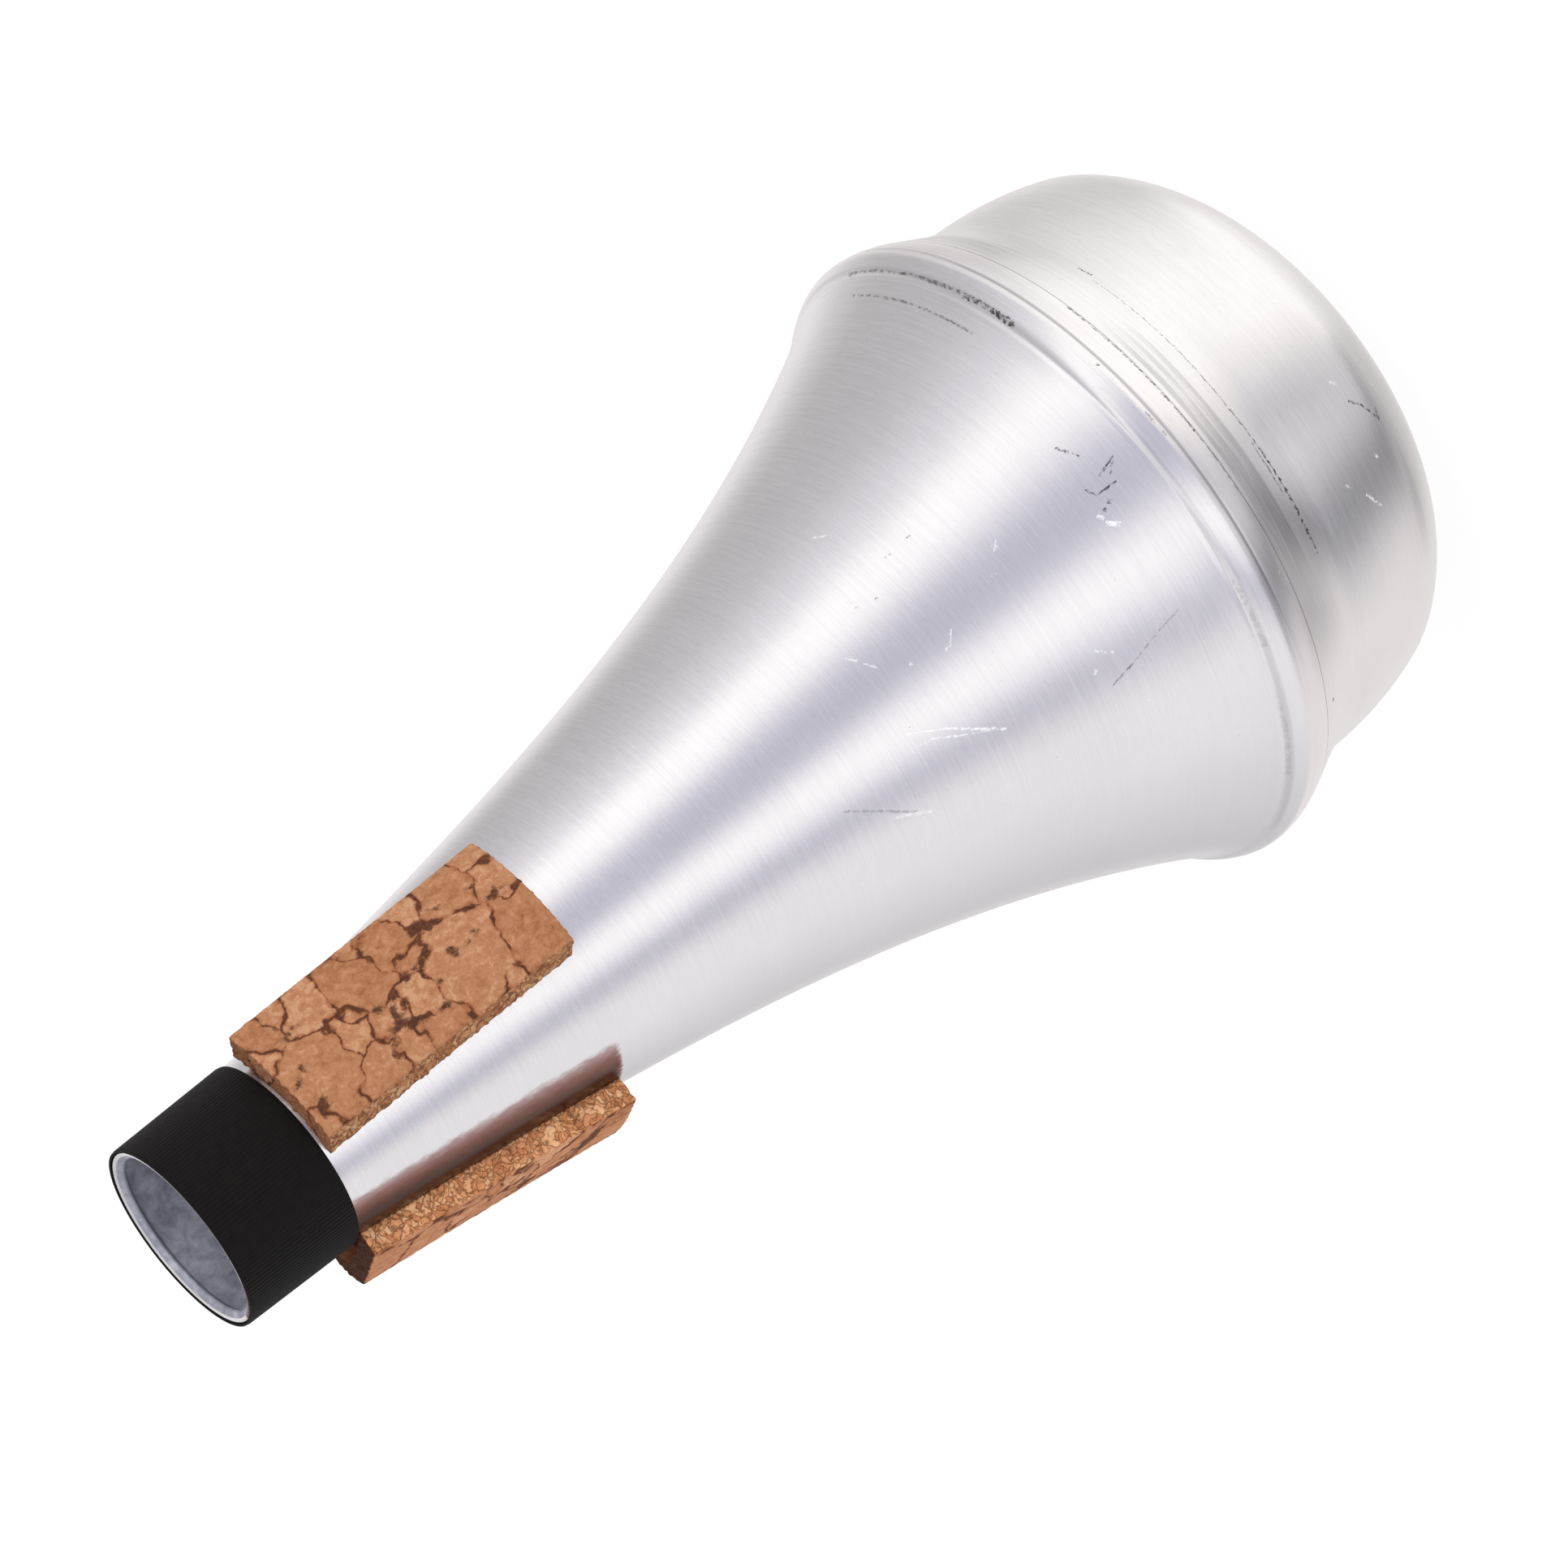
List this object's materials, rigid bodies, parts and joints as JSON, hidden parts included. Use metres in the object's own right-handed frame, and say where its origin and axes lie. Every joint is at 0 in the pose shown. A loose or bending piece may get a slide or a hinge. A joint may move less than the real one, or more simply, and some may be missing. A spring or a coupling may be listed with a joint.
{
  "type": "trumpet mute",
  "caption": "Straight trumpet mute: spun aluminium cone with a rolled rim over a closed spun end cup, a black neck sleeve and cork strips on the neck.",
  "frame": {"origin": "centre of the flat closed end that the mute stands on", "axes": "+Z along the mute's axis, from the closed end up to the open mouth; -Y towards the side that the picture shows, between the upper and the lower cork strip"},
  "size_m": [0.085, 0.085, 0.1717],
  "materials": {
    "cone_metal": "spun and polished, with fine turning lines",
    "cup_metal": "spun and polished, with fine turning lines",
    "sleeve": "matt black, finely ribbed",
    "cork": "raw agglomerated cork, tan flakes with dark cracks"
  },
  "bodies": {
    "root": {"cone_shell": "cone_metal", "end_cup": "cup_metal", "neck_sleeve": "sleeve", "cork_strip_upper": "cork", "cork_strip_lower": "cork", "cork_strip_hidden": "cork"}
  },
  "joints": []
}
